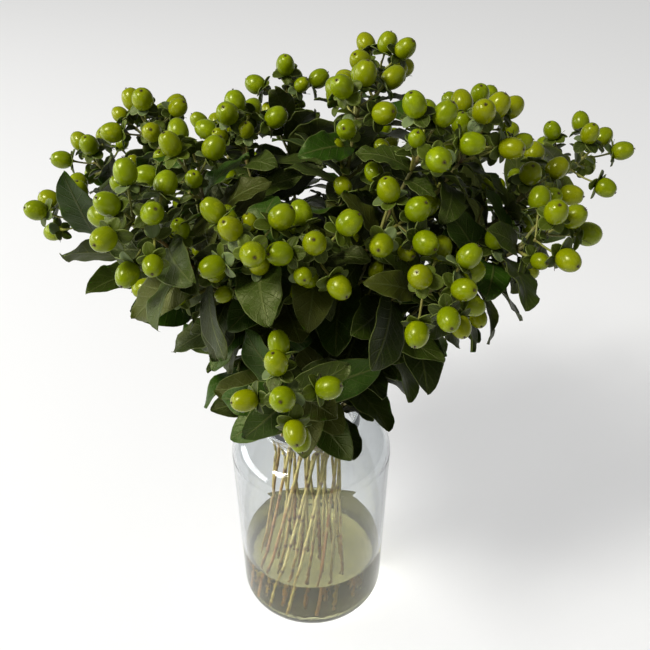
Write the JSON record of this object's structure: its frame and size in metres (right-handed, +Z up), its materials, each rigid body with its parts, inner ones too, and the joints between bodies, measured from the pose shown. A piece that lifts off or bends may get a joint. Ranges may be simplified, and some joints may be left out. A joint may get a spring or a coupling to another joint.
{
  "type": "hypericum berry stems in a glass vase",
  "caption": "A full bunch of leafy hypericum stems with glossy lime-green berries, standing in a clear glass vase part filled with water",
  "frame": {"origin": "centre of the vase's flat base, on the surface that it stands on", "axes": "+Z up along the vase's axis, -Y towards the side of the bunch whose berries hang over the vase's mouth"},
  "size_m": [0.3765, 0.3118, 0.3933],
  "materials": {
    "glass": "gloss",
    "water": "gloss",
    "foliage": "satin",
    "berry": "gloss"
  },
  "bodies": {
    "root": {"vase": "glass", "water": "water", "stem_01": "foliage", "berries_01": "berry", "stem_02": "foliage", "berries_02": "berry", "stem_03": "foliage", "berries_03": "berry", "stem_04": "foliage", "berries_04": "berry", "stem_05": "foliage", "berries_05": "berry", "stem_06": "foliage", "berries_06": "berry", "stem_07": "foliage", "berries_07": "berry", "stem_08": "foliage", "berries_08": "berry", "stem_09": "foliage", "berries_09": "berry", "stem_10": "foliage", "berries_10": "berry", "stem_11": "foliage", "berries_11": "berry", "stem_12": "foliage", "berries_12": "berry", "stem_13": "foliage", "berries_13": "berry", "stem_14": "foliage", "berries_14": "berry", "stem_15": "foliage", "berries_15": "berry", "stem_16": "foliage", "berries_16": "berry", "stem_17": "foliage", "berries_17": "berry", "stem_18": "foliage", "berries_18": "berry", "stem_19": "foliage", "berries_19": "berry", "stem_20": "foliage", "berries_20": "berry", "stem_21": "foliage", "berries_21": "berry", "stem_22": "foliage", "berries_22": "berry", "stem_23": "foliage", "berries_23": "berry"}
  },
  "joints": []
}
